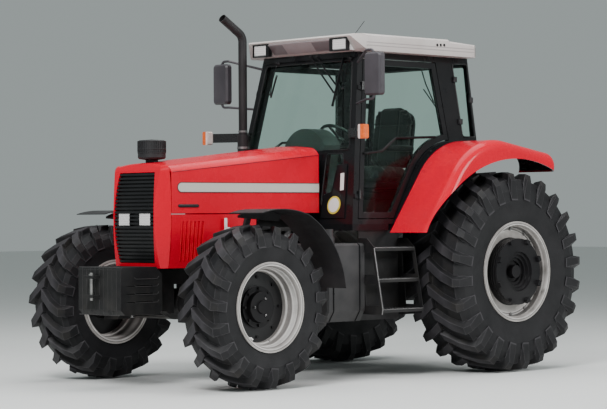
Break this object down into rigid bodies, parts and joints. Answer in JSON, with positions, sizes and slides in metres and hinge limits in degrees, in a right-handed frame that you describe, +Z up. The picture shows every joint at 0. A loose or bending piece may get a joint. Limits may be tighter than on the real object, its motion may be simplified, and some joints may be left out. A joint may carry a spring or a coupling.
{
  "type": "farm tractor",
  "caption": "Four-wheel-drive farm tractor with a glazed cab, lugged tyres, steered front wheels, opening doors, lifting bonnet, front ballast and rear three-point linkage.",
  "frame": {"origin": "on the ground, on the centreline, at the middle of the overall length", "axes": "the tractor faces -Y, +X is its left side, +Z is up"},
  "size_m": [2.666, 4.888, 3.1603],
  "materials": {
    "tyre": "matt",
    "rim_paint": "satin",
    "chassis_paint": "satin",
    "cast_black": "painted",
    "steel": "satin",
    "red_paint": "gloss",
    "stripe_grey": "satin",
    "grille_black": "matt",
    "black_plastic": "satin",
    "cab_black": "satin",
    "roof_grey": "satin",
    "glass": "clear",
    "lamp_glass": "clear",
    "marker_amber": "gloss",
    "mirror": "polished",
    "exhaust_black": "matt",
    "step_black": "satin",
    "seat_fabric": "woven",
    "dash_black": "matt"
  },
  "bodies": {
    "chassis": {"front_axle": "chassis_paint", "front_frame": "chassis_paint", "front_weights": "cast_black", "tow_pin": "steel", "engine_block": "cast_black", "transmission": "cast_black", "rear_axle": "cast_black", "side_panels": "red_paint", "exhaust": "exhaust_black", "cab_frame": "cab_black", "cab_floor": "cab_black", "roof": "roof_grey", "cab_glass": "glass", "work_lamps": "lamp_glass", "marker_lamps": "marker_amber", "mirrors": "black_plastic", "mirror_glasses": "mirror", "fenders": "red_paint", "steps": "step_black", "fuel_tanks": "black_plastic", "seat": "seat_fabric", "dash": "dash_black", "lower_links": "cast_black", "lift_arms": "cast_black", "lift_rods": "cast_black", "top_link": "steel", "drawbar": "cast_black"},
    "front_wheel_left": {"front_tyre_left": "tyre", "front_rim_left": "rim_paint", "front_hub_left": "chassis_paint"},
    "front_wheel_right": {"front_tyre_right": "tyre", "front_rim_right": "rim_paint", "front_hub_right": "chassis_paint"},
    "rear_wheel_left": {"rear_tyre_left": "tyre", "rear_rim_left": "rim_paint", "rear_hub_left": "chassis_paint"},
    "rear_wheel_right": {"rear_tyre_right": "tyre", "rear_rim_right": "rim_paint", "rear_hub_right": "chassis_paint"},
    "knuckle_left": {"knuckle_left": "chassis_paint", "mudguard_left": "black_plastic"},
    "knuckle_right": {"knuckle_right": "chassis_paint", "mudguard_right": "black_plastic"},
    "tie_rod": {"tie_rod": "steel"},
    "bonnet": {"bonnet": "red_paint", "bonnet_stripes": "stripe_grey", "nose": "red_paint", "grille": "grille_black", "headlamps": "lamp_glass", "precleaner": "black_plastic"},
    "door_left": {"door_left": "cab_black", "door_glass_left": "glass"},
    "door_right": {"door_right": "cab_black", "door_glass_right": "glass"}
  },
  "joints": [
    {"name": "steer_left", "type": "hinge", "parent": "chassis", "child": "knuckle_left", "pos_m": [0.81, -1.566, 0.65941], "axis": [0, 0, 1], "range_deg": [-35, 35]},
    {"name": "steer_right", "type": "hinge", "parent": "chassis", "child": "knuckle_right", "pos_m": [-0.81, -1.566, 0.65941], "axis": [0, 0, 1], "range_deg": [-35, 35]},
    {"name": "tie_rod_pivot", "type": "hinge", "parent": "knuckle_left", "child": "tie_rod", "pos_m": [0.81, -1.366, 0.525], "axis": [0, 0, 1], "range_deg": [-35, 35]},
    {"name": "front_left_spin", "type": "hinge", "parent": "knuckle_left", "child": "front_wheel_left", "pos_m": [0.971, -1.566, 0.65941], "axis": [1, 0, 0], "continuous": true},
    {"name": "front_right_spin", "type": "hinge", "parent": "knuckle_right", "child": "front_wheel_right", "pos_m": [-0.971, -1.566, 0.65941], "axis": [1, 0, 0], "continuous": true},
    {"name": "rear_left_spin", "type": "hinge", "parent": "chassis", "child": "rear_wheel_left", "pos_m": [1.028, 1.28, 0.88289], "axis": [1, 0, 0], "continuous": true},
    {"name": "rear_right_spin", "type": "hinge", "parent": "chassis", "child": "rear_wheel_right", "pos_m": [-1.028, 1.28, 0.88289], "axis": [1, 0, 0], "continuous": true},
    {"name": "bonnet_lift", "type": "hinge", "parent": "chassis", "child": "bonnet", "pos_m": [0, -0.366, 1.9], "axis": [-1, 0, 0], "range_deg": [0, 50]},
    {"name": "door_left_hinge", "type": "hinge", "parent": "chassis", "child": "door_left", "pos_m": [0.71348, -0.07489, 2], "axis": [0.1239, -0.1757, -0.9766], "range_deg": [0, 75]},
    {"name": "door_right_hinge", "type": "hinge", "parent": "chassis", "child": "door_right", "pos_m": [-0.71348, -0.07489, 2], "axis": [0.1239, 0.1757, 0.9766], "range_deg": [0, 75]}
  ],
  "couplings": [
    {"joint": "steer_right", "follows": "steer_left", "ratio": 1},
    {"joint": "tie_rod_pivot", "follows": "steer_left", "ratio": -1}
  ]
}
